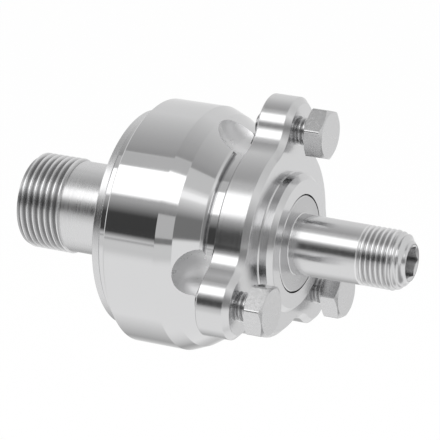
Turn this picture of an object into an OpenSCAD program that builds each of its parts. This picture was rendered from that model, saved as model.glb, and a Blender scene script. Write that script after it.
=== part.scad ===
// Rotary swivel joint for a pressure line, millimetres, +Z up.
// The spin axis is X. The origin is the centre of the flange's mounting face,
// the outlet shaft points along +X and the inlet thread along -X.
// Pipe threads are drawn as rings of the thread's own pitch, depth and outside
// diameter, and screw threads as plain cylinders at their outside diameter.

/* [Drum] */
// Diameter of the drum
drum_d = 84; // [80:0.5:96]
// Length of the straight part of the drum
drum_len = 17; // [14:0.5:30]
// Length of the first, shallow cone
band_len = 5.8; // [4:0.1:9]
// Drop in radius over the shallow cone
band_drop = 2.1; // [1:0.1:3]
// Length of the second, steeper cone
cone_len = 8.5; // [7:0.1:12]
// Drop in radius over the steeper cone
cone_drop = 5.1; // [3.5:0.1:6]
// Length of the neck between cone and flange
neck_len = 4.6; // [3.5:0.1:7]
// Diameter of the neck
neck_d = 64.7; // [62:0.1:64.8]
// Diameter of the boss behind the drum
boss_d = 76.4; // [73:0.1:79]
// Length of the boss behind the drum
boss_len = 3.5; // [2.5:0.1:6]
// Bevel on the drum's rear edge
drum_bevel = 0.5; // [0.2:0.1:1]

/* [Pockets in the cone] */
// Number of milled pockets
pocket_n = 4; // [2:1:6]
// Radius of the ball-nosed cutter
pocket_r = 12; // [9:0.5:13]
// Distance from the spin axis to the cutter's axis
pocket_reach = 41.4; // [41:0.1:43]
// How far the cutter stops behind the flange
pocket_stop = 0.2; // [0.1:0.1:4]
// Angle of the first pocket
pocket_start = 2.7; // [0:0.1:90]

/* [Flange] */
// Thickness of the flange
flange_t = 11.5; // [9:0.1:14]
// Radius of the flange between its lobes
hub_r = 34; // [33:0.1:37]
// Radius of each lobe
lug_r = 11; // [9:0.1:13]
// Radius of the concave blend beside each lobe
blend_r = 12; // [6:0.5:18]
// Bevel round the front of the flange
front_bevel = 1.9; // [0.5:0.1:2.5]
// Bevel round the back of the flange
rear_bevel = 0.5; // [0.2:0.1:1]
// Diameter of the bolt circle
bolt_pcd = 75; // [74:0.5:80]
// Angle of the first lobe
lug_start = 74; // [0:1:120]

/* [Collar] */
// Diameter of the raised collar
collar_d = 47.2; // [45:0.1:54]
// Height of the collar above the flange face
collar_h = 4.7; // [4:0.1:8]
// Bevel round the collar
collar_bevel = 1.7; // [0.5:0.1:2.5]

/* [Flange bolts] */
// Bolt thread diameter
bolt_d = 10; // [8:0.5:11]
// Width of the bolt head across its flats
bolt_flats = 16; // [14:0.5:17]
// Height of the bolt head
bolt_head_h = 6.4; // [5:0.1:8]
// Length of the bolt under its head
bolt_len = 20; // [17:0.5:20]
// Room left for the bracket under the bolt heads
bracket_gap = 5; // [3:0.1:6]

/* [Inlet cap] */
// Diameter of the cap's rim
rim_d = 74.7; // [72:0.1:76]
// Width of the cap's rim
rim_t = 2.65; // [2:0.05:5]
// Open seam between the rim and the housing
seam = 0.35; // [0.2:0.05:0.6]
// Diameter of the inlet neck
inlet_neck_d = 31.8; // [30:0.1:33]
// Length of the inlet neck
inlet_neck_len = 24; // [20:0.5:40]
// Outside diameter of the inlet pipe thread
inlet_thread_d = 33.25; // [33.2:0.05:36]
// Length of the inlet pipe thread
inlet_thread_len = 17.2; // [14:0.1:25]
// Pitch of the inlet pipe thread
inlet_pitch = 2.309; // [1.8:0.001:2.4]
// Bevel at the end of the inlet thread
inlet_bevel = 1.2; // [0.5:0.1:2]
// Diameter of the inlet bore
inlet_bore_d = 17; // [14:0.1:17.5]
// Diameter of the cap's thread inside the housing
spigot_d = 64; // [63:0.1:66]
// Wall of the cap behind its inner recess
cap_wall = 4; // [3:0.1:4.8]

/* [Front bearing] */
// Outside diameter of the front bearing
front_od = 52; // [50:0.1:53]
// Width of the front bearing
front_w = 15; // [14:0.1:16]
// Ball diameter in the front bearing
front_ball = 7.9; // [7:0.1:8.4]
// Number of balls in the front bearing
front_n = 9; // [7:1:11]

/* [Rear bearing] */
// Outside diameter of the rear bearing
rear_od = 62; // [60:0.1:62.5]
// Width of the rear bearing
rear_w = 17; // [16:0.1:18]
// Ball diameter in the rear bearing
rear_ball = 11.5; // [10:0.1:12]
// Number of balls in the rear bearing
rear_n = 7; // [6:1:8]

/* [Rotor] */
// Diameter of the bearing seats
seat_d = 25; // [24:0.1:26]
// Diameter of the shaft under the lip seal
seal_seat_d = 28; // [27.5:0.1:29]
// Diameter of the disc in the collar
disc_d = 32.7; // [31:0.1:34]
// Thickness of the disc
disc_t = 4; // [3:0.1:5]
// Diameter of the outlet shaft and its thread
outlet_d = 20.6; // [18:0.1:24]
// Length of plain outlet shaft in front of the collar
outlet_len = 24.3; // [18:0.5:60]
// Length of the outlet thread with its end bevel
outlet_thread_len = 15.9; // [12:0.1:25]
// Pitch of the outlet pipe thread
outlet_pitch = 1.814; // [1.3:0.001:2]
// Diameter of the outlet's end face
outlet_end_d = 12.6; // [12.4:0.1:17.5]
// Length of the bevel at the outlet's end
outlet_bevel = 3; // [1:0.1:4]
// Diameter of the bore through the rotor
rotor_bore_d = 9; // [6:0.1:9.4]
// Width across the flats of the hexagon socket
socket_flats = 10; // [9.5:0.1:10.5]
// Depth of the hexagon socket
socket_depth = 9; // [5:0.5:11]
// Length of the spacer sleeve between the bearings
spacer_len = 5; // [4:0.1:7]
// Diameter of the lock nut
nut_d = 38; // [35:0.5:42]
// Width of the lock nut
nut_w = 6; // [5:0.1:7]
// Thickness of the lock washer
washer_t = 1.2; // [1:0.1:1.5]

/* [Shaft seal] */
// Diameter of the lip seal's pocket
seal_pocket_d = 38; // [36:0.1:40]
// Width of the lip seal's pocket
seal_pocket_w = 4.8; // [4:0.1:6]

/* [Face seal] */
// Room for the seal's O-ring between seal ring and cap
seal_room = 2; // [1.8:0.1:2.2]
// Diameter of the rotating seat and the rotor's tail
tail_d = 19; // [17:0.1:19.5]
// Length of the rotor's tail behind the lock nut
tail_len = 6.8; // [5:0.1:9]
// Thickness of the rotating seat
ring_seat_t = 3.5; // [2.5:0.1:5]
// Length of the fixed seal ring
seal_ring_len = 8.5; // [7:0.1:10]
// Wire diameter of the seal spring
wire_d = 1.8; // [1.5:0.1:2]
// Length of the seal spring
spring_len = 8.8; // [8:0.1:12]
// Turns of the seal spring
spring_turns = 3; // [3:0.5:4]

/* [Hidden] */
$fn = 96;
steel = [0.78, 0.79, 0.80];
polished = [0.86, 0.87, 0.88];
hard_steel = [0.62, 0.64, 0.67];
rubber = [0.10, 0.10, 0.11];
carbon = [0.20, 0.21, 0.23];
brass = [0.72, 0.58, 0.30];

// Small clearances that the fits share
running_gap = 0.05;
free_gap = 0.3;
lip_gap = 0.9;
disc_gap = 0.45;

// Small steps and bevels
spigot_lip = 2;
recess_step = 5;
cap_fillet = 2;
root_fillet = 0.4;
nut_bevel = 0.8;

// Places along X, worked out from the flange face at x = 0
flange_rear = -flange_t;
cone_end = flange_rear - neck_len;
band_end = cone_end - cone_len;
drum_front = band_end - band_len;
drum_rear = drum_front - drum_len;
housing_rear = drum_rear - drum_bevel - boss_len;
rim_front = housing_rear - seam;
rim_rear = rim_front - rim_t;
thread_start = rim_rear - inlet_neck_len;
inlet_end = thread_start - inlet_thread_len;
disc_rear = collar_h - disc_t;
seal_front = disc_rear - lip_gap;
front_x = seal_front - seal_pocket_w;
clip_x = front_x - front_w;
rear_x = clip_x - spacer_len;
washer_x = rear_x - rear_w;
nut_x = washer_x - washer_t;
nut_rear = nut_x - nut_w;
tail_rear = nut_rear - tail_len;
seat_face = tail_rear - ring_seat_t;
ring_front = seat_face - running_gap;
ring_rear = ring_front - seal_ring_len;
spring_front = ring_rear - washer_t;
spring_rear = spring_front - spring_len;
recess_rear = rim_rear + cap_wall;
shaft_thread = collar_h + outlet_len;
shaft_end = shaft_thread + outlet_thread_len;

// Radii that several pieces share
drum_r = drum_d / 2;
band_r = drum_r - band_drop;
cone_r = band_r - cone_drop;
collar_bore_r = disc_d / 2 + disc_gap;
spigot_r = spigot_d / 2;
spigot_front = washer_x - spigot_lip;
recess_r = rear_od / 2 - recess_step;
cavity_d = tail_d + 2 * seal_room;
groove_w = 0.5;
groove_depth = 0.8;
edge_line = 0.7;
edge = 0.3;
bore_bevel = 1;
collar_root = 0.4;
front_pitch = (front_od + seat_d) / 2;
rear_pitch = (rear_od + seat_d) / 2;
clip_t = 2;
clip_depth = 1.4;
ring_bore_d = rotor_bore_d + 0.6;
ring_plug_d = (tail_d + rotor_bore_d) / 2;
ring_plug_len = 3;
o_ring_d = 2;
o_ring_w = 2.6;
o_ring_x = (housing_rear + spigot_front) / 2;

// Turns a list of [x, radius] points round the spin axis
module lathe(points) {
    rotate([0, 90, 0])
        rotate_extrude()
            polygon([for (p = points) [p[1], p[0]]]);
}

// A ring from x0 to x1 with bevelled edges
module ring(x0, x1, inner, outer, bevel = edge) {
    lathe([[x0, inner + bevel], [x0 + bevel, inner], [x1 - bevel, inner],
        [x1, inner + bevel], [x1, outer - bevel], [x1 - bevel, outer],
        [x0 + bevel, outer], [x0, outer - bevel]]);
}

// A straight rod along X
module rod(x0, x1, r, sides = 96) {
    translate([x0, 0, 0])
        rotate([0, 90, 0])
            cylinder(h = x1 - x0, r = r, $fn = sides);
}

// A round ring of round section, standing at x
module torus(x, centre_r, section_r) {
    translate([x, 0, 0])
        rotate([0, 90, 0])
            rotate_extrude()
                translate([centre_r, 0])
                    circle(r = section_r, $fn = 32);
}

// Children placed at radius r and angle a, measured from +Y towards +Z
module at_angle(r, a) {
    translate([0, r * cos(a), r * sin(a)])
        children();
}

// Points of a concave quarter fillet between a wall at x0 and a rod of radius r
function fillet(x0, r, size, steps = 6) =
    [for (i = [0:steps]) [x0 + size - size * cos(90 * i / steps), r + size - size * sin(90 * i / steps)]];

// Points of the rings of a pipe thread between x0 and x1, on a rod of radius r.
// Crest and root each keep a flat, and the flanks take the rest of the pitch
thread_depth = 0.64;
thread_flat = 0.07;
function thread_rings(x0, x1, r, pitch) =
    let (count = floor((x1 - x0) / pitch),
        start = (x0 + x1 - count * pitch) / 2)
    [for (i = [0:count - 1], p = [[thread_flat, 0], [0.5 - thread_flat, 1],
        [0.5 + thread_flat, 1], [1 - thread_flat, 0]])
        [start + (i + p[0]) * pitch, r - p[1] * thread_depth * pitch]];

lug_angles = [for (i = [0:2]) lug_start + 120 * i];

// The lobed flange: a hub, three lobes and webs that two cutters per lobe
// round off. Each blend bites a hair into its neighbours, so that the arcs
// of the outline run into each other without a sliver between them
blend_bite = 0.02;
hub_to_blend = hub_r + blend_r - blend_bite;
lug_to_blend = lug_r + blend_r - blend_bite;
bolt_r = bolt_pcd / 2;
blend_turn = acos((bolt_r * bolt_r + hub_to_blend * hub_to_blend - lug_to_blend * lug_to_blend)
    / (2 * bolt_r * hub_to_blend));

module bevelled_disc(r) {
    lathe([[flange_rear, 0], [flange_rear, r - rear_bevel], [flange_rear + rear_bevel, r],
        [-front_bevel, r], [0, r - front_bevel], [0, 0]]);
}

module blend_cutter() {
    lathe([[flange_rear - 1, 0], [flange_rear - 1, blend_r + rear_bevel + 1], [flange_rear + rear_bevel, blend_r],
        [-front_bevel, blend_r], [1, blend_r + front_bevel + 1], [1, 0]]);
}

module web(a) {
    left = [hub_to_blend * cos(a + blend_turn), hub_to_blend * sin(a + blend_turn)];
    right = [hub_to_blend * cos(a - blend_turn), hub_to_blend * sin(a - blend_turn)];
    difference() {
        translate([flange_rear, 0, 0])
            rotate([90, 0, 90])
                linear_extrude(flange_t)
                    polygon([[0, 0], right, [bolt_r * cos(a), bolt_r * sin(a)], left]);
        at_angle(hub_to_blend, a + blend_turn)
            blend_cutter();
        at_angle(hub_to_blend, a - blend_turn)
            blend_cutter();
    }
}

module lobed_flange() {
    bevelled_disc(hub_r);
    for (a = lug_angles) {
        at_angle(bolt_r, a)
            bevelled_disc(lug_r);
        web(a);
    }
}

// The turned drum behind the flange, with its two cones, groove and neck
module drum_blank() {
    lathe([[housing_rear, 0], [housing_rear, boss_d / 2 - edge], [housing_rear + edge, boss_d / 2],
        [drum_rear - drum_bevel, boss_d / 2], [drum_rear - drum_bevel, drum_r - drum_bevel],
        [drum_rear, drum_r], [drum_front, drum_r], [band_end, band_r], [cone_end, cone_r],
        [cone_end + edge_line, cone_r - edge_line], [cone_end + edge_line, neck_d / 2 - groove_depth],
        [cone_end + edge_line + groove_w, neck_d / 2 - groove_depth],
        [cone_end + edge_line + groove_w, neck_d / 2], [flange_rear + 1, neck_d / 2],
        [flange_rear + 1, 0]]);
}

// A ball-nosed cutter lying along X
module pocket_cutter() {
    nose_x = flange_rear - pocket_stop;
    difference() {
        translate([nose_x, 0, 0])
            sphere(r = pocket_r);
        translate([nose_x, -pocket_r - 1, -pocket_r - 1])
            cube([pocket_r + 1, 2 * pocket_r + 2, 2 * pocket_r + 2]);
    }
    rod(nose_x, flange_rear + 2, pocket_r);
}

// The stepped bore for seal, bearings and cap
module housing_bore() {
    lathe([[housing_rear - 1, 0], [housing_rear - 1, spigot_r + 0.5], [housing_rear, spigot_r + 0.5],
        [housing_rear + 0.5, spigot_r], [spigot_front, spigot_r], [spigot_front, rear_od / 2],
        [rear_x, rear_od / 2], [rear_x, front_od / 2], [clip_x - clip_t, front_od / 2],
        [clip_x - clip_t, front_od / 2 + clip_depth], [clip_x, front_od / 2 + clip_depth],
        [clip_x, front_od / 2], [front_x, front_od / 2],
        [front_x, seal_pocket_d / 2], [seal_front, seal_pocket_d / 2], [seal_front, collar_bore_r],
        [collar_h + 1, collar_bore_r], [collar_h + 1, 0]]);
}

module housing() {
    color(steel)
        difference() {
            union() {
                difference() {
                    drum_blank();
                    for (i = [0:pocket_n - 1])
                        at_angle(pocket_reach, pocket_start + 360 * i / pocket_n)
                            pocket_cutter();
                }
                lobed_flange();
                lathe([[-1, 0], [-1, collar_d / 2 + collar_root], [0, collar_d / 2 + collar_root],
                    [collar_root, collar_d / 2],
                    [collar_h - collar_bevel, collar_d / 2], [collar_h, collar_d / 2 - collar_bevel],
                    [collar_h, 0]]);
            }
            housing_bore();
            for (a = lug_angles)
                at_angle(bolt_r, a)
                    rod(flange_rear - 1, 1, bolt_d / 2 + running_gap);
        }
}

module inlet_cap() {
    neck_r = inlet_neck_d / 2;
    thread_r = inlet_thread_d / 2;
    color(steel)
        difference() {
            lathe(concat(
                [[inlet_end, 0], [inlet_end, thread_r - inlet_bevel], [inlet_end + inlet_bevel, thread_r]],
                thread_rings(inlet_end + inlet_bevel, thread_start - 0.5, thread_r, inlet_pitch),
                [[thread_start - 0.5, thread_r], [thread_start, neck_r], [rim_rear - cap_fillet, neck_r]],
                [for (i = [1:6]) [rim_rear - cap_fillet * (1 - sin(15 * i)),
                    neck_r + cap_fillet * (1 - cos(15 * i))]],
                [[rim_rear, rim_d / 2 - edge], [rim_rear + edge, rim_d / 2], [rim_front, rim_d / 2],
                    [rim_front, spigot_r], [spigot_front - running_gap, spigot_r],
                    [spigot_front - running_gap, rear_od / 2 - running_gap],
                    [washer_x, rear_od / 2 - running_gap], [washer_x, 0]]));
            rod(recess_rear, washer_x + 1, recess_r);
            rod(spring_rear, recess_rear + 1, cavity_d / 2);
            rod(inlet_end - 1, spring_rear + 1, inlet_bore_d / 2);
            lathe([[inlet_end - bore_bevel, 0], [inlet_end - bore_bevel, inlet_bore_d / 2 + 2 * bore_bevel],
                [inlet_end + bore_bevel, inlet_bore_d / 2], [inlet_end + bore_bevel, 0]]);
            ring(o_ring_x - o_ring_w / 2, o_ring_x + o_ring_w / 2, spigot_r - o_ring_d + running_gap,
                spigot_r + 1, 0);
        }
}

module cap_o_ring() {
    color(rubber)
        torus(o_ring_x, spigot_r - o_ring_d / 2, o_ring_d / 2 - running_gap);
}

// A hexagon bolt along X with its head seat at x = 0 and its shank towards -X
module hex_bolt() {
    head_r = bolt_flats / 2 / cos(30);
    chamfer_r = 0.475 * bolt_flats;
    rise = (head_r - chamfer_r) * tan(30);
    intersection() {
        rod(0, bolt_head_h, head_r, 6);
        lathe([[0, 0], [0, chamfer_r], [rise, head_r], [bolt_head_h - rise, head_r],
            [bolt_head_h, chamfer_r], [bolt_head_h, 0]]);
    }
    lathe([[-bolt_len, 0], [-bolt_len, bolt_d / 2 - 1], [1 - bolt_len, bolt_d / 2], [1, bolt_d / 2], [1, 0]]);
}

bolt_turns = [9, 7, 20];

module flange_bolts() {
    color(polished)
        for (i = [0:2])
            translate([bracket_gap, 0, 0])
                at_angle(bolt_r, lug_angles[i])
                    rotate([bolt_turns[i], 0, 0])
                        hex_bolt();
}

// Ball bearing rings: the groove is cut to clear the balls by the running gap
module inner_race(x_front, width, ball, pitch) {
    groove_r = 0.52 * ball;
    shoulder = pitch / 2 - 0.28 * ball;
    difference() {
        ring(x_front - width, x_front, seat_d / 2, shoulder);
        torus(x_front - width / 2, pitch / 2 - ball / 2 - running_gap + groove_r, groove_r);
    }
}

module outer_race(x_front, width, ball, pitch, outside) {
    groove_r = 0.52 * ball;
    shoulder = pitch / 2 + 0.3 * ball;
    difference() {
        ring(x_front - width, x_front, shoulder, outside / 2);
        torus(x_front - width / 2, pitch / 2 + ball / 2 + running_gap - groove_r, groove_r);
    }
}

module ball_set(x_front, width, ball, pitch, count, r) {
    for (i = [0:count - 1])
        translate([x_front - width / 2, 0, 0])
            at_angle(pitch / 2, 360 * i / count)
                sphere(r = r, $fn = 32);
}

// The cage is one ring, wider than the balls, with a drilled window for each
module ball_cage(x_front, width, ball, pitch, count) {
    difference() {
        ring(x_front - width / 2 - 0.6 * ball, x_front - width / 2 + 0.6 * ball,
            pitch / 2 - 0.16 * ball, pitch / 2 + 0.18 * ball, 0.2);
        for (i = [0:count - 1])
            rotate([360 * i / count, 0, 0])
                translate([x_front - width / 2, pitch / 2 - ball / 3, 0])
                    rotate([-90, 0, 0])
                        cylinder(h = ball, r = ball / 2 + running_gap, $fn = 48);
    }
}

module front_outer_ring() {
    color(hard_steel)
        outer_race(front_x, front_w, front_ball, front_pitch, front_od);
}

module front_inner_ring() {
    color(hard_steel)
        inner_race(front_x, front_w, front_ball, front_pitch);
}

module front_balls() {
    color(polished)
        ball_set(front_x, front_w, front_ball, front_pitch, front_n, front_ball / 2);
}

module front_cage() {
    color(brass)
        ball_cage(front_x, front_w, front_ball, front_pitch, front_n);
}

module rear_outer_ring() {
    color(hard_steel)
        outer_race(rear_x, rear_w, rear_ball, rear_pitch, rear_od);
}

module rear_inner_ring() {
    color(hard_steel)
        inner_race(rear_x, rear_w, rear_ball, rear_pitch);
}

module rear_balls() {
    color(polished)
        ball_set(rear_x, rear_w, rear_ball, rear_pitch, rear_n, rear_ball / 2);
}

module rear_cage() {
    color(brass)
        ball_cage(rear_x, rear_w, rear_ball, rear_pitch, rear_n);
}

// The circlip is open at the bottom, between two ears with plier holes
module bearing_circlip() {
    clip_out = front_od / 2 + clip_depth - running_gap;
    clip_in = front_od / 2 - 3;
    clip_slot = 2;
    ear_r = 2.6;
    ear_at = clip_in - 0.6;
    ear_turn = 8;
    color(hard_steel)
        difference() {
            union() {
                ring(clip_x - clip_t + running_gap, clip_x, clip_in, clip_out, 0.1);
                for (side = [-1, 1])
                    at_angle(ear_at, 270 + ear_turn * side)
                        rod(clip_x - clip_t + running_gap, clip_x, ear_r);
            }
            translate([clip_x - clip_t - 1, -clip_slot / 2, -clip_out - 1])
                cube([clip_t + 2, clip_slot, clip_out - ear_at + ear_r + 2]);
            for (side = [-1, 1])
                at_angle(ear_at, 270 + ear_turn * side)
                    rod(clip_x - clip_t - 1, clip_x + 1, 1);
        }
}

module inner_spacer() {
    color(steel)
        ring(rear_x, clip_x, seat_d / 2, seat_d / 2 + 3);
}

module lock_washer() {
    tab_r = nut_d / 2 + 1.5;
    tab_w = 3.2;
    tab_n = 13;
    color(hard_steel)
        difference() {
            union() {
                rod(nut_x, washer_x, nut_d / 2 - 1);
                for (i = [0:tab_n - 1])
                    rotate([360 * i / tab_n, 0, 0])
                        translate([nut_x, -tab_w / 2, 0])
                            cube([washer_t, tab_w, tab_r]);
            }
            rod(nut_x - 1, washer_x + 1, seat_d / 2);
        }
}

module lock_nut() {
    slot_w = 5;
    slot_depth = 2;
    color(hard_steel)
        difference() {
            ring(nut_rear, nut_x, seat_d / 2, nut_d / 2, nut_bevel);
            for (i = [0:3])
                rotate([90 * i, 0, 0])
                    translate([nut_rear - 1, -slot_w / 2, nut_d / 2 - slot_depth])
                        cube([nut_w + 2, slot_w, 2 * slot_depth]);
        }
}

// Lip seal: a stiff outer case and a lip that leans on the shaft
module shaft_seal() {
    seal_r = seal_pocket_d / 2;
    shaft_r = seal_seat_d / 2 + running_gap;
    back = front_x + 0.1;
    front = seal_front - 0.1;
    color(rubber)
        lathe([[back, seal_r - 1.2], [back, seal_r - 0.2], [back + 0.2, seal_r], [front, seal_r],
            [front, shaft_r + 0.9], [front - 0.7, shaft_r], [front - 1.7, shaft_r],
            [front - 2.6, shaft_r + 1], [front - 1.2, shaft_r + 1.6], [front - 1.2, seal_r - 1.2]]);
}

module rotor_shaft() {
    shaft_r = outlet_d / 2;
    seat_r = seat_d / 2;
    color(polished)
        difference() {
            lathe(concat(
                [[tail_rear, 0], [tail_rear, tail_d / 2], [nut_rear, tail_d / 2],
                    [nut_rear, seat_r - nut_bevel], [nut_rear + nut_bevel, seat_r], [front_x, seat_r],
                    [front_x, seal_seat_d / 2], [disc_rear, seal_seat_d / 2],
                    [disc_rear, disc_d / 2 - edge], [disc_rear + edge, disc_d / 2],
                    [collar_h - edge, disc_d / 2], [collar_h, disc_d / 2 - edge]],
                fillet(collar_h, shaft_r, root_fillet),
                thread_rings(shaft_thread, shaft_end - outlet_bevel, shaft_r, outlet_pitch),
                [[shaft_end - outlet_bevel, shaft_r], [shaft_end, outlet_end_d / 2], [shaft_end, 0]]));
            rod(tail_rear - 1, shaft_end + 1, rotor_bore_d / 2);
            rod(tail_rear - 1, tail_rear + ring_plug_len, ring_plug_d / 2);
            rotate([30, 0, 0])
                rod(shaft_end - socket_depth, shaft_end + 1, socket_flats / 2 / cos(30), 6);
        }
}

module rotating_seat() {
    color(hard_steel)
        difference() {
            union() {
                ring(seat_face, tail_rear, rotor_bore_d / 2, tail_d / 2);
                rod(seat_face + 1, tail_rear + ring_plug_len, ring_plug_d / 2);
            }
            rod(seat_face - 1, tail_rear + ring_plug_len + 1, rotor_bore_d / 2);
        }
}

module seal_ring() {
    color(carbon)
        lathe([[ring_front, ring_bore_d / 2], [ring_front, ring_plug_d / 2], [ring_front - 1.5, ring_plug_d / 2 + 0.5],
            [ring_front - 1.5, tail_d / 2], [ring_rear, tail_d / 2], [ring_rear, ring_bore_d / 2]]);
}

// The O-ring and its backup ring fill the space between seal ring and cap
backup_t = 1.3;
seal_o_x = ring_rear + backup_t + seal_room / 2;

module seal_o_ring() {
    color(rubber)
        torus(seal_o_x, (tail_d + seal_room) / 2, seal_room / 2 - running_gap);
}

module backup_ring() {
    color("white")
        ring(ring_rear, ring_rear + backup_t, tail_d / 2 + running_gap, cavity_d / 2 - running_gap, 0.1);
}

module spring_washer() {
    color(steel)
        ring(spring_front, ring_rear, ring_bore_d / 2, cavity_d / 2 - free_gap, 0.2);
}

// One closed tube swept along a helix, from the cap's shoulder to the washer
spring_sides = 8;
spring_steps = 24 * spring_turns;
coil_gap = 0.7;
coil_r = cavity_d / 2 - coil_gap - wire_d / 2;
spring_rise = spring_len - wire_d;

function helix_point(i, k) =
    let (turn = 360 * spring_turns * i / spring_steps,
        along = spring_rear + wire_d / 2 + spring_rise * i / spring_steps,
        r = coil_r + wire_d / 2 * cos(360 * k / spring_sides))
    [along + wire_d / 2 * sin(360 * k / spring_sides), r * cos(turn), r * sin(turn)];

module seal_spring() {
    rings = [for (i = [0:spring_steps], k = [0:spring_sides - 1]) helix_point(i, k)];
    walls = [for (i = [0:spring_steps - 1], k = [0:spring_sides - 1])
        [i * spring_sides + k, i * spring_sides + (k + 1) % spring_sides,
            (i + 1) * spring_sides + (k + 1) % spring_sides, (i + 1) * spring_sides + k]];
    start = [[for (k = [spring_sides - 1:-1:0]) k]];
    finish = [[for (k = [0:spring_sides - 1]) spring_steps * spring_sides + k]];
    color(hard_steel)
        polyhedron(points = rings, faces = concat(walls, start, finish), convexity = 6);
}

housing();
inlet_cap();
cap_o_ring();
flange_bolts();
front_outer_ring();
front_inner_ring();
front_balls();
front_cage();
rear_outer_ring();
rear_inner_ring();
rear_balls();
rear_cage();
bearing_circlip();
inner_spacer();
lock_washer();
lock_nut();
shaft_seal();
rotor_shaft();
rotating_seat();
seal_ring();
seal_o_ring();
backup_ring();
spring_washer();
seal_spring();
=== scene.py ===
# Looks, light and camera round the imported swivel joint. Metres, +X along the spin axis.
import math

import bmesh
import bpy
from mathutils import Matrix, Vector


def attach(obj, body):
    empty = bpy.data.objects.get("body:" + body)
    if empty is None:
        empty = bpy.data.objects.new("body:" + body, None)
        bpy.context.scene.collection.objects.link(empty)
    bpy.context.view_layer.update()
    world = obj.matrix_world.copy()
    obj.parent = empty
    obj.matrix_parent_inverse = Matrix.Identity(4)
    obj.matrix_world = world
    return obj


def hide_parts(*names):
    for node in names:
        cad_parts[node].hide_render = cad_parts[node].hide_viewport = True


MM = 0.001

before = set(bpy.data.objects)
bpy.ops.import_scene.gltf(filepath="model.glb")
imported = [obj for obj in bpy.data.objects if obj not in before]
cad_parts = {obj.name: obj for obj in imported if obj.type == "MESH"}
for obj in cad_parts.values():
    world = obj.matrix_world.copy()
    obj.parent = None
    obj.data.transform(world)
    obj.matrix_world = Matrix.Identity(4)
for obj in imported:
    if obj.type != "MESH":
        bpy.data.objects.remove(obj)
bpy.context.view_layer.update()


def new_object(name, data):
    made = bpy.data.objects.new(name, data)
    bpy.context.scene.collection.objects.link(made)
    return made


# The photograph's camera: a long lens, seen from the outlet side and above
IMAGE_PIXELS = 440
FOCAL_PIXELS = 2600
SENSOR = 36.0
VIEW_AZIMUTH = math.radians(25.81)
VIEW_ELEVATION = math.radians(20.90)
VIEW_ROLL = math.radians(-0.17)
VIEW_DISTANCE = 891.5 * MM
VIEW_PIVOT = Vector((-47.4 * MM, 0, 0))
VIEW_RIGHT = 20.10 * MM


def make_camera():
    back = Vector((math.sin(VIEW_AZIMUTH) * math.cos(VIEW_ELEVATION),
                   -math.cos(VIEW_AZIMUTH) * math.cos(VIEW_ELEVATION),
                   math.sin(VIEW_ELEVATION)))
    level = Vector((math.cos(VIEW_AZIMUTH), math.sin(VIEW_AZIMUTH), 0))
    right = Matrix.Rotation(VIEW_ROLL, 3, back) @ level
    up = back.cross(right)
    data = bpy.data.cameras.new("photo_camera")
    data.sensor_width = SENSOR
    data.lens = FOCAL_PIXELS / IMAGE_PIXELS * SENSOR
    camera = new_object("photo_camera", data)
    place = VIEW_PIVOT + back * VIEW_DISTANCE + right * VIEW_RIGHT
    axes = Matrix((right, up, back)).transposed().to_4x4()
    camera.matrix_world = Matrix.Translation(place) @ axes
    bpy.context.scene.camera = camera


# Node helpers
class Nodes:
    """Adds nodes to a tree and joins them, one call per node."""

    def __init__(self, tree):
        self.tree = tree

    def feed(self, node, inputs):
        """Link or set the named inputs of a node, and give the node back."""
        for key, value in inputs.items():
            if isinstance(value, bpy.types.NodeSocket):
                self.tree.links.new(value, node.inputs[key])
            else:
                node.inputs[key].default_value = value
        return node

    def add(self, kind, inputs=None, **settings):
        node = self.tree.nodes.new(kind)
        for name, value in settings.items():
            setattr(node, name, value)
        return self.feed(node, inputs or {})

    def math(self, operation, a, b=0.0):
        return self.add("ShaderNodeMath", {0: a, 1: b}, operation=operation).outputs[0]

    def map_range(self, value, low, high, first=0.0, last=1.0):
        """The number first below low, last above high, and an even run between them."""
        inputs = {0: value, 1: low, 2: high, 3: first, 4: last}
        return self.add("ShaderNodeMapRange", inputs).outputs[0]

    def mix(self, share, a, b):
        """A number that is a at share 0 and b at share 1."""
        return self.add("ShaderNodeMix", {0: share, 2: a, 3: b}, data_type="FLOAT").outputs[0]

    def mix_colours(self, share, a, b):
        """A colour that is a at share 0 and b at share 1."""
        return self.add("ShaderNodeMix", {0: share, 6: a, 7: b}, data_type="RGBA").outputs[2]

    def noise(self, place, scale, **inputs):
        inputs.update(Vector=place, Scale=scale)
        return self.add("ShaderNodeTexNoise", inputs).outputs[0]


def new_material(name):
    material = bpy.data.materials.new(name)
    material.use_nodes = True
    return material, Nodes(material.node_tree)


def opaque(tone, share=1.0):
    """A colour with its alpha, taken down to a share of its level."""
    return (*[c * share for c in tone], 1)


WHITE = opaque((1, 1, 1))

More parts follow.
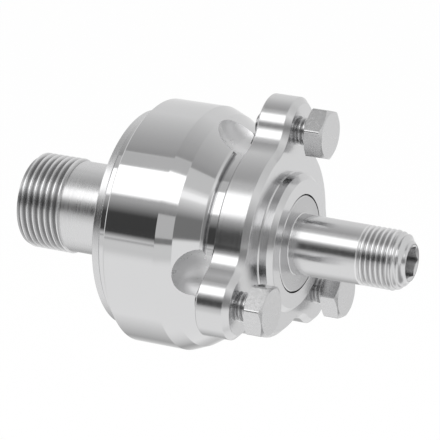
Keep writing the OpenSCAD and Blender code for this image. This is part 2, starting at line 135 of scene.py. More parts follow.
# The studio that the steel reflects: a white background with soft grey and dark panels and a
# softbox. Angles go round the spin axis from 200 to 560: 270 is below, 360 behind, 450 overhead
# and 540 on the camera's side. A panel comes in from the first angle to the second and goes from
# the third to the fourth, between two places along X, from -1 on the inlet's side to 1 on the
# outlet's.
SEAM = 200
PANELS = [
    # angles, places along X, softness along X, level
    ((262, 304, 304, 345), (-2, -0.1), 0.2, 0.46),
    ((255, 303, 303, 326), (0.52, 2), 0.1, 0.30),
    ((312, 318, 334, 338), (0.1, 0.52), 0.1, 0.80),
    ((330, 350, 440, 452), (-2, 2), 0.1, 0.84),
    ((400, 454, 456, 458), (-2, 0.7), 0.2, 0.40),
    ((456, 458, 470, 475), (-2, 0.4), 0.2, 0.62),
    ((456, 458, 476, 480), (0.4, 0.8), 0.2, 0.74),
    ((471, 472, 498, 501), (-2, 0.45), 0.1, 1.75),
    ((481, 483, 488, 491), (0.45, 0.72), 0.1, 1.30),
    ((499, 502, 545, 556), (-2, 0.45), 0.1, 0.50),
    ((489, 510, 533, 537), (0.45, 0.80), 0.1, 0.23),
    ((450, 500, 538, 555), (0.80, 2), 0.1, 0.28),
    ((504, 517, 535, 538), (-2, 0.45), 0.1, 0.06),
    ((533, 534, 538, 541), (0.02, 0.40), 0.02, 0.25),
    ((538, 540, 548, 560), (-2, 0.45), 0.1, 0.80),
    ((540, 541, 542, 543), (-2, 0.02), 0.02, 0.50),
    ((511, 512, 533, 534), (0.05, 0.40), 0.02, 0.62),
]


def make_world():
    """White all round. Only reflections see the studio's panels in front of it."""
    world = bpy.data.worlds.new("studio")
    bpy.context.scene.world = world
    world.use_nodes = True
    world.node_tree.nodes.clear()
    n = Nodes(world.node_tree)
    ray = n.add("ShaderNodeLightPath").outputs
    place = n.add("ShaderNodeTexCoord").outputs["Generated"]
    axes = n.add("ShaderNodeSeparateXYZ", {0: place}).outputs
    turn = n.math("DIVIDE", n.math("ARCTAN2", axes["Z"], axes["Y"]), 2 * math.pi)
    turn = n.math("FRACT", n.math("SUBTRACT", turn, SEAM / 360 - 1))
    angle = n.math("ADD", n.math("MULTIPLY", turn, 360), SEAM)

    def fall(value, low, high):
        return n.math("SUBTRACT", 1.0, n.map_range(value, low, high))

    level = 1.0
    for (in_from, in_to, out_from, out_to), (x0, x1), soft_x, panel in PANELS:
        half = soft_x / 2
        mask = n.math("MULTIPLY", n.map_range(angle, in_from, in_to), fall(angle, out_from, out_to))
        mask = n.math("MULTIPLY", mask, n.map_range(axes["X"], x0 - half, x0 + half))
        mask = n.math("MULTIPLY", mask, fall(axes["X"], x1 - half, x1 + half))
        level = n.mix(mask, level, panel)
    shown = n.mix(ray["Is Glossy Ray"], 1.0, level)
    white = n.add("ShaderNodeBackground", {"Color": WHITE, "Strength": shown})
    n.add("ShaderNodeOutputWorld", {"Surface": white.outputs[0]})


LAMP_PLACE = Vector((0.15, -0.55, 0.65))
LAMP_SIZE = 0.6
LAMP_POWER = 3.0


def make_lamp():
    """One soft lamp. The steel sees it as the studio's bright strip, not as a second reflection."""
    data = bpy.data.lights.new("softbox", "AREA")
    data.energy = LAMP_POWER
    data.size = LAMP_SIZE
    lamp = new_object("softbox", data)
    lamp.location = LAMP_PLACE
    lamp.rotation_mode = "QUATERNION"
    lamp.rotation_quaternion = (-LAMP_PLACE).to_track_quat("-Z", "Y")
    lamp.visible_glossy = False


FLOOR_DROP = 0.30
FLOOR_HALF = 12.0
FLOOR_COLOUR = opaque((0.92, 0.92, 0.92))
FLOOR_WHITENESS = 0.85


def make_floor():
    """A pale floor under the object. It is open from below, and near white where nothing shades it."""
    mesh = bpy.data.meshes.new("floor")
    corners = [(x * FLOOR_HALF, y * FLOOR_HALF, -FLOOR_DROP)
               for x, y in ((-1, -1), (1, -1), (1, 1), (-1, 1))]
    mesh.from_pydata(corners, [], [(0, 1, 2, 3)])
    floor = new_object("floor", mesh)
    material, n = new_material("floor")
    material.node_tree.nodes.clear()
    ray = n.add("ShaderNodeLightPath").outputs
    pale = n.add("ShaderNodeBsdfDiffuse", {"Color": FLOOR_COLOUR}).outputs[0]
    white = n.add("ShaderNodeEmission", {"Color": WHITE}).outputs[0]
    seen = n.math("MAXIMUM", ray["Is Camera Ray"], ray["Is Transmission Ray"])
    whiteness = n.math("MULTIPLY", seen, FLOOR_WHITENESS)
    front = n.add("ShaderNodeMixShader", {0: whiteness, 1: pale, 2: white}).outputs[0]
    clear = n.add("ShaderNodeBsdfTransparent").outputs[0]
    behind = n.add("ShaderNodeNewGeometry").outputs["Backfacing"]
    both = n.add("ShaderNodeMixShader", {0: behind, 1: front, 2: clear}).outputs[0]
    n.add("ShaderNodeOutputMaterial", {"Surface": both})
    mesh.materials.append(material)
    floor.visible_glossy = False


# Materials
BROAD_GRAIN = 60.0
FINE_SHARE = 0.6
NOISE_LOW = 0.3
NOISE_HIGH = 0.7


def steel(name, tone, roughness, spread, grain, depth, turned=True, painted_shade=None, metallic=1.0,
          mottle=0.96):
    """Bare metal. Turned metal has fine rings round the piece's X axis, other metal an even grain.

    The roughness goes spread up and down, and the grain is depth metres deep. The grain takes the
    colour down to the share mottle. painted_shade is two radii in mm and a share: from the second
    radius to the first the colour falls to that share, painted shade for thread roots and socket
    corners. metallic is lower where the surface is matt.
    """
    material, n = new_material(name)
    place = n.add("ShaderNodeTexCoord").outputs["Object"]
    axes = n.add("ShaderNodeSeparateXYZ", {0: place}).outputs
    squares = n.math("ADD", n.math("POWER", axes["Y"], 2), n.math("POWER", axes["Z"], 2))
    radius = n.math("SQRT", squares)
    if turned:
        rings = n.add("ShaderNodeCombineXYZ", {0: axes["X"], 1: radius}).outputs[0]
    else:
        rings = place
    fine = n.noise(rings, grain, Detail=3.0, Roughness=0.6)
    broad = n.noise(place, BROAD_GRAIN, Detail=4.0)
    mixed = n.math("ADD", n.math("MULTIPLY", fine, FINE_SHARE),
                   n.math("MULTIPLY", broad, 1 - FINE_SHARE))
    rough = n.map_range(mixed, NOISE_LOW, NOISE_HIGH, roughness - spread, roughness + spread)
    bump = n.add("ShaderNodeBump", {"Strength": 1.0, "Distance": depth, "Height": fine}).outputs[0]
    tint = n.mix_colours(mixed, opaque(tone, mottle), opaque(tone))
    # Painted shade: the colour falls from one radius to another, darkening thread roots and socket
    # corners
    if painted_shade:
        dark, light, share = painted_shade
        height = n.map_range(radius, dark * MM, light * MM)
        tint = n.mix_colours(height, opaque(tone, share), tint)
    n.feed(material.node_tree.nodes["Principled BSDF"],
           {"Base Color": tint, "Roughness": rough, "Normal": bump, "Metallic": metallic})
    return material


SOFT_MOTTLE = 0.8
SOFT_BUMP = 0.3
SOFT_DEPTH = 0.05 * MM


def soft(name, tone, roughness, grain):
    """Rubber, carbon or plastic with a fine mottle."""
    material, n = new_material(name)
    place = n.add("ShaderNodeTexCoord").outputs["Object"]
    mottle = n.noise(place, grain, Detail=4.0)
    tint = n.mix_colours(mottle, opaque(tone, SOFT_MOTTLE), opaque(tone))
    bump = n.add("ShaderNodeBump", {"Strength": SOFT_BUMP, "Distance": SOFT_DEPTH, "Height": mottle})
    n.feed(material.node_tree.nodes["Principled BSDF"],
           {"Base Color": tint, "Normal": bump.outputs[0], "Roughness": roughness})
    return material


STAINLESS = (0.68, 0.68, 0.685)
# The stainless painted lighter than it is: painted light on the milled pockets and the thread crests
PAINTED_LIGHTER_STAINLESS = (0.80, 0.80, 0.805)
DRUM_STEEL = steel("drum_steel", STAINLESS, 0.075, 0.03, 1500.0, 0.0010 * MM)
FLANGE_STEEL = steel("flange_steel", STAINLESS, 0.20, 0.04, 900.0, 0.0008 * MM)
# The milled pockets: their lighter tone is painted light
MILLED_STEEL = steel("milled_steel", PAINTED_LIGHTER_STAINLESS, 0.30, 0.05, 500.0, 0.002 * MM,
                     turned=False, metallic=0.75)
# The socket: its lighter tone is painted light on the hexagon's faces, with painted shade in its
# corners
SOCKET_STEEL = steel("socket_steel", (0.92, 0.92, 0.925), 0.16, 0.04, 700.0, 0.001 * MM,
                     turned=False, painted_shade=(5.55, 5.1, 0.2), metallic=0.75)
NECK_STEEL = steel("neck_steel", STAINLESS, 0.27, 0.07, 1400.0, 0.003 * MM)
SHAFT_STEEL = steel("shaft_steel", STAINLESS, 0.20, 0.05, 1200.0, 0.0012 * MM)
DISC_STEEL = steel("disc_steel", (0.56, 0.56, 0.565), 0.30, 0.08, 1500.0, 0.010 * MM)
# The pipe threads: painted shade in the roots, and painted light in the crests' lighter stainless
INLET_THREAD_STEEL = steel("inlet_thread_steel", PAINTED_LIGHTER_STAINLESS, 0.26, 0.06, 1400.0, 0.003 * MM,
                           painted_shade=(15.7, 16.6, 0.56))
OUTLET_THREAD_STEEL = steel("outlet_thread_steel", PAINTED_LIGHTER_STAINLESS, 0.24, 0.06, 1400.0, 0.003 * MM,
                            painted_shade=(9.2, 10.0, 0.62))
SCREW_STEEL = steel("screw_steel", (0.73, 0.73, 0.735), 0.24, 0.08, 900.0, 0.0008 * MM,
                    turned=False, mottle=0.72)
# The screws' thread: painted shade in the roots, and painted light in the crests' lighter stainless
SCREW_THREAD_STEEL = steel("screw_thread_steel", PAINTED_LIGHTER_STAINLESS, 0.24, 0.06, 700.0, 0.002 * MM,
                           painted_shade=(4.1, 4.95, 0.50))
BEARING_STEEL = steel("bearing_steel", (0.62, 0.64, 0.67), 0.15, 0.03, 1500.0, 0.001 * MM)
CAGE_BRASS = steel("cage_brass", (0.78, 0.60, 0.30), 0.25, 0.05, 1200.0, 0.003 * MM)
RUBBER = soft("rubber", (0.035, 0.035, 0.038), 0.6, 900.0)
CARBON = soft("carbon", (0.06, 0.06, 0.065), 0.35, 1500.0)
PLASTIC = soft("backup_plastic", (0.85, 0.85, 0.82), 0.45, 600.0)

NODE_MATERIALS = {
    "housing": DRUM_STEEL, "inlet_cap": NECK_STEEL, "cap_o_ring": RUBBER,
    "flange_bolts": SCREW_STEEL, "front_outer_ring": BEARING_STEEL,
    "front_inner_ring": BEARING_STEEL, "front_balls": SHAFT_STEEL, "front_cage": CAGE_BRASS,
    "rear_outer_ring": BEARING_STEEL, "rear_inner_ring": BEARING_STEEL,
    "rear_balls": SHAFT_STEEL, "rear_cage": CAGE_BRASS, "bearing_circlip": BEARING_STEEL,
    "inner_spacer": NECK_STEEL, "lock_washer": BEARING_STEEL, "lock_nut": BEARING_STEEL,
    "shaft_seal": RUBBER, "rotor_shaft": SHAFT_STEEL, "rotating_seat": BEARING_STEEL,
    "seal_ring": CARBON, "seal_o_ring": RUBBER, "backup_ring": PLASTIC,
    "spring_washer": NECK_STEEL, "seal_spring": BEARING_STEEL,
}


def dress_nodes():
    for name, material in NODE_MATERIALS.items():
        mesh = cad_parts[name].data
        mesh.materials.clear()
        mesh.materials.append(material)


# Turned pieces: a piece is a list of rows along X, and a row is one (x, radius) pair in mm
# or a list of them, one for each column round the axis
COLUMNS = 192
THREAD_ROWS_PER_TURN = 14
THREAD_FLAT = 0.14
THREAD_ROUNDING = 0.4


def thread_rows(x0, x1, pitch, root, crest):
    """Rows of a right-handed screw thread from x0 to x1, and the rows per turn.

    root and crest give the radii at an x. The flats at root and crest take a share THREAD_FLAT
    of the height each, and the flanks are rounded by the share THREAD_ROUNDING.
    """
    rows = []
    for j in range(math.ceil(THREAD_ROWS_PER_TURN * ((x1 - x0) / pitch + 1)) + 1):
        row = []
        for i in range(COLUMNS):
            turns = i / COLUMNS
            x = min(max(x0 - pitch + pitch * (j / THREAD_ROWS_PER_TURN + turns), x0), x1)
            phase = ((x - x0) / pitch - turns) % 1
            height = 1 - abs(2 * phase - 1)
            height = min(max((height - THREAD_FLAT) / (1 - 2 * THREAD_FLAT), 0), 1)
            rounded = height * height * (3 - 2 * height)
            height = rounded * THREAD_ROUNDING + height * (1 - THREAD_ROUNDING)
            row.append((x, root(x) + (crest(x) - root(x)) * height))
        rows.append(row)
    return rows, THREAD_ROWS_PER_TURN


def ramp_to(x0, r0, x1, r1):
    """A function that runs straight from r0 at x0 to r1 at x1 and stays level outside."""
    return lambda x: r0 + (r1 - r0) * min(max((x - x0) / (x1 - x0), 0), 1)


def hexagon(flats, x_of, blunt=1.0, turned=0.0):
    """One row along a hexagon with corners at turned, turned + 60, ... degrees.

    x_of gives the row's x for a radius, and blunt is the share of the corners' radius that is left.
    """
    row = []
    for i in range(COLUMNS):
        beside = math.radians((360 * i / COLUMNS - turned) % 60 - 30)
        r = min(flats / 2 / math.cos(beside), blunt * flats / math.sqrt(3))
        row.append((x_of(r), r))
    return row


def fillet_rows(x0, r0, size, steps=6):
    """A concave quarter from a wall at x0 out to a rod of radius r0, as rows.

    The rod goes towards +X from the wall where size is above 0, and towards -X where it is below.
    """
    rows = []
    for i in range(steps + 1):
        a = math.pi / 2 * i / steps
        rows.append((x0 + size - size * math.cos(a), r0 + abs(size) - abs(size) * math.sin(a)))
    return rows


WELD = 0.0005 * MM
SLIVER = 0.0001 * MM
TURNED_CREASE = 28
FINE_CREASE = 4


def shade(mesh, crease):
    """Smooth shading, broken at edges sharper than crease degrees."""
    mesh.polygons.foreach_set("use_smooth", [True] * len(mesh.polygons))
    mesh.set_sharp_from_angle(angle=math.radians(crease))


def ring_of_verts(bm, row):
    verts = []
    for i, (x, r) in enumerate([row] * COLUMNS if isinstance(row, tuple) else row):
        a = 2 * math.pi * i / COLUMNS
        verts.append(bm.verts.new((x * MM, r * MM * math.cos(a), r * MM * math.sin(a))))
    return verts


def turned_mesh(name, parts):
    """A closed skin from parts in order. A part is a list of rows, or the pair from thread_rows.

    Where a thread's columns meet, a row goes on as the row one turn further along.
    """
    bm = bmesh.new()
    rings = []
    for part in parts:
        rows, skip = part if isinstance(part, tuple) else (part, 0)
        first = len(rings)
        rings += [ring_of_verts(bm, row) for row in rows]
        last = len(rings) - 1
        for j in range(max(first, 1), len(rings)):
            for i in range(COLUMNS):
                k = (i + 1) % COLUMNS
                turn = skip if k == 0 and j > first else 0
                near, far = rings[min(j - 1 + turn, last)], rings[min(j + turn, last)]
                corners = list(dict.fromkeys((rings[j - 1][i], rings[j][i], far[k], near[k])))
                if len(corners) > 2:
                    bm.faces.new(corners)
    bmesh.ops.remove_doubles(bm, verts=bm.verts, dist=WELD)
    bmesh.ops.dissolve_degenerate(bm, edges=bm.edges, dist=SLIVER)
    bmesh.ops.recalc_face_normals(bm, faces=bm.faces)
    mesh = bpy.data.meshes.new(name)
    bm.to_mesh(mesh)
    bm.free()
    shade(mesh, TURNED_CREASE)
    return mesh


def add_piece(name, mesh, material, body, replaced, place=(0, 0, 0), turn=0.0):
    piece = new_object(name, mesh)
    piece.matrix_world = Matrix.Translation(Vector(place)) @ Matrix.Rotation(turn, 4, "X")
    mesh.materials.append(material)
    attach(piece, body)
    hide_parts(replaced)


# places this near to each other, in mm, count as one
NEAR = 0.01


def further_material(mesh, material, chosen):
    """Give the faces whose centre, in mm, passes the test chosen a further material."""
    mesh.materials.append(material)
    last = len(mesh.materials) - 1
    for face in mesh.polygons:
        if chosen(face.center / MM):
            face.material_index = last


# The housing: a turned drum with four milled pockets, a lobed flange and a collar
FRONT_SEAT_R = 26.0
REAR_SEAT_R = 31.0
SPIGOT_R = 32.0
BEARINGS_FRONT = -5.0
FLANGE_JOIN = -10.5
DRUM_R = 42.0
# the outlines of the drum and the collar, as (x, radius) pairs in mm that end where they start
DRUM = [
    # the rear face, the step between the cap's rim and the drum, and the drum's rear edge
    (-51.4, 32.5), (-51.4, 37.9), (-51.1, 38.2), (-47.9, 38.2), (-47.9, 41.5), (-47.4, DRUM_R),
    # the band and the cone in front of the drum, with blunt edges
    (-29.15, DRUM_R), (-29.05, 41.98), (-23.75, 39.82), (-23.65, 39.77), (-16.2, 34.86),
    (-16.0, 34.7), (-15.4, 34.1),
    # the groove behind the flange
    (-15.4, 31.55), (-14.9, 31.55), (-14.9, 32.35), (FLANGE_JOIN, 32.35),
    # the front bearing's seat, with the circlip's groove
    (FLANGE_JOIN, FRONT_SEAT_R), (-20.0, FRONT_SEAT_R), (-20.0, 27.4), (-22.0, 27.4),
    (-22.0, FRONT_SEAT_R), (-25.0, FRONT_SEAT_R),
    # the rear bearing's seat and the bore for the cap's spigot
    (-25.0, REAR_SEAT_R), (-44.0, REAR_SEAT_R), (-44.0, SPIGOT_R), (-50.9, SPIGOT_R), (-51.4, 32.5),
]
COLLAR = [
    # the front bearing's seat, the seal's seat and the room for the disc
    (FLANGE_JOIN, FRONT_SEAT_R), (BEARINGS_FRONT, FRONT_SEAT_R), (BEARINGS_FRONT, 19.0),
    (-0.2, 19.0), (-0.2, 16.8), (4.55, 16.8),
    # the front face with its bevel, down to the flange's face
    (4.7, 16.95), (4.7, 21.85), (4.65, 21.95), (3.05, 23.55), (2.95, 23.6), (0.4, 23.6), (0.0, 24.0),
    # the core inside the flange
    (-0.5, 24.0), (-0.5, 30.0), (FLANGE_JOIN, 30.0), (FLANGE_JOIN, FRONT_SEAT_R),
]
POCKET_R = 12.0
POCKET_REACH = 41.4
POCKET_NOSE = -11.7
POCKET_END = -9.5
POCKET_ANGLES = (2.7, 92.7, 182.7, 272.7)
POCKET_SLACK = 0.02
LUG_R = 11.8
BLEND_R = 12.5
LUG_CIRCLE_R = 36.9
LUG_ANGLES = (72.5, 195.4, 312.7)
# the hub's radius from each lug to the next
HUB_RADII = (34.0, 33.0, 34.0)
FLANGE_REAR = -11.5
# places along X with how far the outline is drawn in there: a chamfer in front and a bevel behind
FLANGE_ROWS = [(0.0, 1.95), (-0.06, 1.84), (-1.84, 0.06), (-1.95, 0.0),
               (-10.95, 0.0), (-11.05, 0.05), (FLANGE_REAR, 0.5)]
FLANGE_FRONT_HOLE_R = 23.8
FLANGE_REAR_HOLE_R = 30.0
ARC_STEP = 2


def polar(radius, degrees):
    a = math.radians(degrees)
    return Vector((radius * math.cos(a), radius * math.sin(a)))


def heading(vector):
    return math.degrees(math.atan2(vector.y, vector.x))


def arc(centre, radius, start, end, side):
    """Points with their outward normals along an arc. side is 1 outside the arc and -1 inside."""
    steps = max(2, math.ceil(abs(end - start) / ARC_STEP))
    points = []
    for i in range(steps):
        out = polar(1.0, start + (end - start) * i / steps)
        points.append((centre + radius * out, side * out))
    return points


def blend_turn(hub_r):
    """The angle at the spin axis from a lug to where its blend meets the hub."""
    reach = hub_r + BLEND_R
    cosine = ((LUG_CIRCLE_R ** 2 + reach ** 2 - (LUG_R + BLEND_R) ** 2)
              / (2 * LUG_CIRCLE_R * reach))
    return math.degrees(math.acos(cosine))


def flange_outline():
    """The lobed outline, anticlockwise, as (point, outward normal) pairs in the YZ plane."""
    outline = []
    for k, angle in enumerate(LUG_ANGLES):
        lug = polar(LUG_CIRCLE_R, angle)
        hub_before, hub_r = HUB_RADII[k - 1], HUB_RADII[k]
        start, end = angle - blend_turn(hub_before), angle + blend_turn(hub_r)
        before, after = polar(hub_before + BLEND_R, start), polar(hub_r + BLEND_R, end)
        into = heading(lug - before)
        out = heading(lug - after)
        outline += arc(before, BLEND_R, start + 180, start + 180 + (into - start) % 360 - 180, -1)
        first = heading(before - lug)
        outline += arc(lug, LUG_R, first, first + (heading(after - lug) - first) % 360, 1)
        outline += arc(after, BLEND_R, out, out + (end - out) % 360 - 180, -1)
        hub_end = LUG_ANGLES[(k + 1) % len(LUG_ANGLES)] - blend_turn(hub_r)
        outline += arc(Vector((0, 0)), hub_r, end, end + (hub_end - end) % 360, 1)
    return outline


def add_flange(bm):
    """The flange between its rear face and its front face, as a closed ring round the spin axis."""
    outline = flange_outline()
    loops = [[(0.0, FLANGE_FRONT_HOLE_R * p.normalized()) for p, n in outline]]
    loops += [[(x, p - n * inset) for p, n in outline] for x, inset in FLANGE_ROWS]
    loops.append([(FLANGE_REAR, FLANGE_REAR_HOLE_R * p.normalized()) for p, n in outline])
    rings = [[bm.verts.new((x * MM, p.x * MM, p.y * MM)) for x, p in loop] for loop in loops]
    for ring, following in zip(rings, rings[1:] + rings[:1]):
        for i in range(len(ring)):
            k = (i + 1) % len(ring)
            bm.faces.new((ring[i], ring[k], following[k], following[i]))


def pocket_cutters():
    """Four ball-nosed cutters lying along X, as one object."""
    nose = [(POCKET_NOSE - POCKET_R * math.cos(math.radians(a)), POCKET_R * math.sin(math.radians(a)))
            for a in range(0, 91, ARC_STEP)]
    tool = turned_mesh("tool", [nose + [(POCKET_END, POCKET_R), (POCKET_END, 0.0)]])
    bm = bmesh.new()
    for angle in POCKET_ANGLES:
        copied = tool.copy()
        at = polar(POCKET_REACH * MM, angle)
        copied.transform(Matrix.Translation((0, at.x, at.y)))
        bm.from_mesh(copied)
        bpy.data.meshes.remove(copied)
    bm.to_mesh(tool)
    bm.free()
    return new_object("tool", tool)


def milled(mesh, cutters):
    """The mesh with the cutters' shapes taken away."""
    blank = new_object("blank", mesh)
    modifier = blank.modifiers.new("milling", "BOOLEAN")
    modifier.object = cutters
    modifier.operation = "DIFFERENCE"
    modifier.solver = "EXACT"
    bpy.context.view_layer.update()
    evaluated = blank.evaluated_get(bpy.context.evaluated_depsgraph_get())
    result = bpy.data.meshes.new_from_object(evaluated)
    bpy.data.objects.remove(blank)
    bpy.data.objects.remove(cutters)
    return result


def in_pocket(point):
    """Whether a point lies on one of the four cutters, or inside it."""
    for angle in POCKET_ANGLES:
        at = polar(POCKET_REACH * MM, angle)
        behind = min(point.x - POCKET_NOSE * MM, 0)
        reach = Vector((behind, point.y - at.x, point.z - at.y)).length
        if reach < (POCKET_R + POCKET_SLACK) * MM:
            return True
    return False


def make_drum():
    drum = milled(turned_mesh("drum", [DRUM]), pocket_cutters())
    drum.materials.clear()
    cut = [all(in_pocket(drum.vertices[v].co) for v in face.vertices) for face in drum.polygons]
    drum.polygons.foreach_set("material_index", [int(c) for c in cut])
    shade(drum, FINE_CREASE)
    add_piece("housing_drum", drum, DRUM_STEEL, "housing_body", "housing")
    drum.materials.append(MILLED_STEEL)


def make_flange():
    bm = bmesh.new()
    bm.from_mesh(turned_mesh("collar", [COLLAR]))
    add_flange(bm)
    bmesh.ops.recalc_face_normals(bm, faces=bm.faces)
    flange = bpy.data.meshes.new("housing_flange")
    bm.to_mesh(flange)
    bm.free()
    shade(flange, FINE_CREASE)
    add_piece("housing_flange", flange, FLANGE_STEEL, "housing_body", "housing")


# The inlet cap, with its pipe thread
INLET_PITCH = 2.309
INLET_END = -95.6
INLET_END_R = 15.4
INLET_END_BEVEL = 1.2
INLET_THREAD_END = -78.4
INLET_NECK_BEVEL = 0.7
INLET_RUN_OUT = 2.5
INLET_CREST = 16.62
INLET_ROOT = 15.14
INLET_BORE = 8.5
INLET_BORE_BEVEL = 1.0
INLET_NECK = 15.9
NECK_FILLET = 1.5
SEAL_CAVITY_R = 11.5
SEAL_CAVITY_REAR = -78.05
SPIGOT_FRONT = -44.05
SPIGOT_LIP_FRONT = -42.0
SPIGOT_LIP_R = 30.95
NUT_RECESS_R = 26.0
NUT_RECESS_REAR = -50.4
RIM_REAR = -54.4
RIM_FRONT = -51.75
RIM_R = 37.35
RIM_REAR_BEVEL = 0.25
RIM_FRONT_BEVEL = 0.15


def inlet_thread():
    end_bevel = ramp_to(INLET_END, INLET_END_R, INLET_END + INLET_END_BEVEL, INLET_CREST)
    neck_bevel = ramp_to(INLET_THREAD_END - INLET_NECK_BEVEL, INLET_CREST,
                         INLET_THREAD_END, INLET_NECK)
    run_out = ramp_to(INLET_THREAD_END - INLET_RUN_OUT, INLET_ROOT, INLET_THREAD_END, INLET_NECK)

    def crest(x):
        return min(end_bevel(x), neck_bevel(x))

    def root(x):
        return min(run_out(x), crest(x))

    return thread_rows(INLET_END, INLET_THREAD_END, INLET_PITCH, root, crest)


def make_inlet_cap():
    inside = [(SPIGOT_LIP_FRONT, NUT_RECESS_R), (NUT_RECESS_REAR, NUT_RECESS_R),
              (NUT_RECESS_REAR, SEAL_CAVITY_R), (SEAL_CAVITY_REAR, SEAL_CAVITY_R),
              (SEAL_CAVITY_REAR, INLET_BORE), (INLET_END + INLET_BORE_BEVEL, INLET_BORE),
              (INLET_END, INLET_BORE + INLET_BORE_BEVEL)]
    neck = fillet_rows(RIM_REAR, INLET_NECK, -NECK_FILLET)[::-1]
    outside = [(RIM_REAR, RIM_R - RIM_REAR_BEVEL), (RIM_REAR + RIM_REAR_BEVEL, RIM_R),
               (RIM_FRONT - RIM_FRONT_BEVEL, RIM_R), (RIM_FRONT, RIM_R - RIM_FRONT_BEVEL),
               (RIM_FRONT, SPIGOT_R), (SPIGOT_FRONT, SPIGOT_R), (SPIGOT_FRONT, SPIGOT_LIP_R),
               (SPIGOT_LIP_FRONT, SPIGOT_LIP_R), (SPIGOT_LIP_FRONT, NUT_RECESS_R)]
    mesh = turned_mesh("inlet_cap_threaded", [inside, inlet_thread(), neck + outside])
    add_piece("inlet_cap_threaded", mesh, NECK_STEEL, "housing_body", "inlet_cap")

    def on_thread(centre):
        return centre.x < INLET_THREAD_END and centre.yz.length > INLET_ROOT - 1

    further_material(mesh, INLET_THREAD_STEEL, on_thread)


# The rotor, with its disc, shaft, pipe thread and hexagon socket
OUTLET_PITCH = 1.814
SHAFT_R = 10.3
OUTLET_END = 44.9
OUTLET_END_R = 6.3
OUTLET_THREAD = 28.6
OUTLET_RUN_IN = 2.4
OUTLET_TAPER = 1 / 64
OUTLET_BEVEL = 39.6
OUTLET_BEVEL_R = 10.15
OUTLET_CHAMFER = 42.6
OUTLET_CHAMFER_R = 9.15
OUTLET_ROOT = 9.2
OUTLET_CHAMFER_DEPTH = 0.6
OUTLET_END_DEPTH = 0.25
SOCKET_FLATS = 10.0
SOCKET_DEPTH = 9.0
SOCKET_MOUTH_R = 6.0
SOCKET_MOUTH_SLOPE = 0.6
SOCKET_CONE = 0.6
SOCKET_TURN = -9.375
DISC_FRONT = 4.7
DISC_FRONT_BEVEL = 0.25
DISC_REAR = 0.7
DISC_REAR_BEVEL = 0.3
DISC_R = 16.35
SEAL_SEAT_R = 14.0
SHAFT_SEAT_R = 12.5
NUT_REAR = -49.2
NUT_BEVEL = 0.8
TAIL_REAR = -56.0
TAIL_R = 9.5
RING_PLUG_R = 7.0
RING_PLUG_END = -53.0
ROTOR_BORE = 4.5
ROOT_FILLET = 0.4


def outlet_thread():
    bevel = ramp_to(OUTLET_BEVEL, OUTLET_BEVEL_R, OUTLET_CHAMFER, OUTLET_CHAMFER_R)
    chamfer = ramp_to(OUTLET_CHAMFER, 0.0, OUTLET_END, OUTLET_CHAMFER_R - OUTLET_END_R)
    run_in = ramp_to(OUTLET_THREAD, SHAFT_R, OUTLET_THREAD + OUTLET_RUN_IN, OUTLET_ROOT)
    run_out = ramp_to(OUTLET_CHAMFER, OUTLET_CHAMFER_DEPTH, OUTLET_END, OUTLET_END_DEPTH)

    def crest(x):
        taper = SHAFT_R - max(x - OUTLET_THREAD, 0) * OUTLET_TAPER
        return min(taper, bevel(x) - chamfer(x))

    def root(x):
        return min(run_in(x), crest(x) - min(run_out(x), max(x - OUTLET_THREAD, 0)))

    return thread_rows(OUTLET_THREAD, OUTLET_END, OUTLET_PITCH, root, crest)


def socket_rows():
    """The end face's edge, the countersink, the hexagon and the cone down to the bore."""
    bottom = OUTLET_END - SOCKET_DEPTH
    mouth = hexagon(SOCKET_FLATS, lambda r: OUTLET_END - (SOCKET_MOUTH_R - r) * SOCKET_MOUTH_SLOPE,
                    turned=SOCKET_TURN)
    return [(OUTLET_END, OUTLET_END_R), (OUTLET_END, SOCKET_MOUTH_R), mouth,
            hexagon(SOCKET_FLATS, lambda r: bottom, turned=SOCKET_TURN),
            (bottom - SOCKET_CONE, ROTOR_BORE)]


def make_rotor():
    body = [(TAIL_REAR, RING_PLUG_R), (TAIL_REAR, TAIL_R), (NUT_REAR, TAIL_R),
            (NUT_REAR, SHAFT_SEAT_R - NUT_BEVEL), (NUT_REAR + NUT_BEVEL, SHAFT_SEAT_R),
            (BEARINGS_FRONT, SHAFT_SEAT_R), (BEARINGS_FRONT, SEAL_SEAT_R), (DISC_REAR, SEAL_SEAT_R),
            (DISC_REAR, DISC_R - DISC_REAR_BEVEL), (DISC_REAR + DISC_REAR_BEVEL, DISC_R),
            (DISC_FRONT - DISC_FRONT_BEVEL, DISC_R), (DISC_FRONT, DISC_R - DISC_FRONT_BEVEL)]
    body += fillet_rows(DISC_FRONT, SHAFT_R, ROOT_FILLET)
    bore = [(RING_PLUG_END, ROTOR_BORE), (RING_PLUG_END, RING_PLUG_R), (TAIL_REAR, RING_PLUG_R)]
    mesh = turned_mesh("rotor_threaded", [body, outlet_thread(), socket_rows() + bore])
    add_piece("rotor_threaded", mesh, SHAFT_STEEL, "rotor", "rotor_shaft")

    def on_disc(centre):
        return abs(centre.x - DISC_FRONT) < NEAR and centre.yz.length > SHAFT_R

    def on_thread(centre):
        return OUTLET_THREAD < centre.x < OUTLET_BEVEL and centre.yz.length > OUTLET_END_R

    def in_socket(centre):
        countersink = (SOCKET_MOUTH_R - SOCKET_FLATS / 2) * SOCKET_MOUTH_SLOPE
        deep = OUTLET_END - centre.x
        return countersink < deep < SOCKET_DEPTH + NEAR and centre.yz.length < OUTLET_END_R

    further_material(mesh, DISC_STEEL, on_disc)
    further_material(mesh, OUTLET_THREAD_STEEL, on_thread)
    further_material(mesh, SOCKET_STEEL, in_socket)


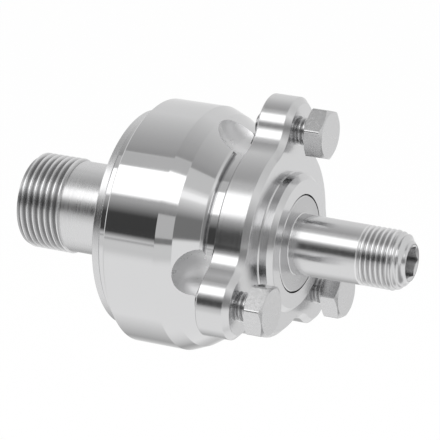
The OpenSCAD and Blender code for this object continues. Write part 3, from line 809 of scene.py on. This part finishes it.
# The three flange screws
BOLT_CIRCLE_R = 37.5
BOLT_NAMES = ("screw_top", "screw_front", "screw_back")
BOLT_ANGLES = (74, 195.4, 314)
HEAD_CORNERS = (39, 42, 50)
HEAD_SEAT = 4.3
HEAD_HEIGHT = 6.6
HEAD_FLATS = 16.0
HEAD_BLUNT = 0.985
HEAD_FACE_R = 0.475 * HEAD_FLATS
HEAD_CHAMFER = math.radians(30)
WASHER_FACE = 0.25
UNDERSIDE_FLAT = 0.7
UNDERSIDE_SLOPE = 0.5
BOLT_END = -15.0
BOLT_END_BEVEL = 1.0
BOLT_PITCH = 1.5
BOLT_CREST = 4.95
BOLT_ROOT = 4.08


def bolt_mesh(name):
    top = HEAD_SEAT + HEAD_HEIGHT
    underside = HEAD_SEAT + WASHER_FACE
    crest = ramp_to(BOLT_END, BOLT_CREST - BOLT_END_BEVEL, BOLT_END + BOLT_END_BEVEL, BOLT_CREST)
    thread = thread_rows(BOLT_END, HEAD_SEAT, BOLT_PITCH, lambda x: min(BOLT_ROOT, crest(x)), crest)

    def rising(r):
        return underside + max(r - HEAD_FACE_R - UNDERSIDE_FLAT, 0) * UNDERSIDE_SLOPE

    def falling(r):
        return top - (r - HEAD_FACE_R) * math.tan(HEAD_CHAMFER)

    head = [(HEAD_SEAT, HEAD_FACE_R), (underside, HEAD_FACE_R),
            hexagon(HEAD_FLATS, rising, HEAD_BLUNT), hexagon(HEAD_FLATS, falling, HEAD_BLUNT),
            (top, HEAD_FACE_R), (top, 0.0)]
    return turned_mesh(name, [[(BOLT_END, 0.0)], thread, head])


def make_bolts():
    for name, angle, corner in zip(BOLT_NAMES, BOLT_ANGLES, HEAD_CORNERS):
        at = polar(BOLT_CIRCLE_R * MM, angle)
        mesh = bolt_mesh(name)
        add_piece(name, mesh, SCREW_STEEL, "housing_body", "flange_bolts",
                  (0, at.x, at.y), math.radians(corner))
        further_material(mesh, SCREW_THREAD_STEEL, lambda centre: centre.x < HEAD_SEAT - NEAR)


bpy.context.scene.view_settings.view_transform = "Standard"
make_camera()
make_world()
make_lamp()
make_floor()
dress_nodes()
make_drum()
make_flange()
make_inlet_cap()
make_rotor()
make_bolts()
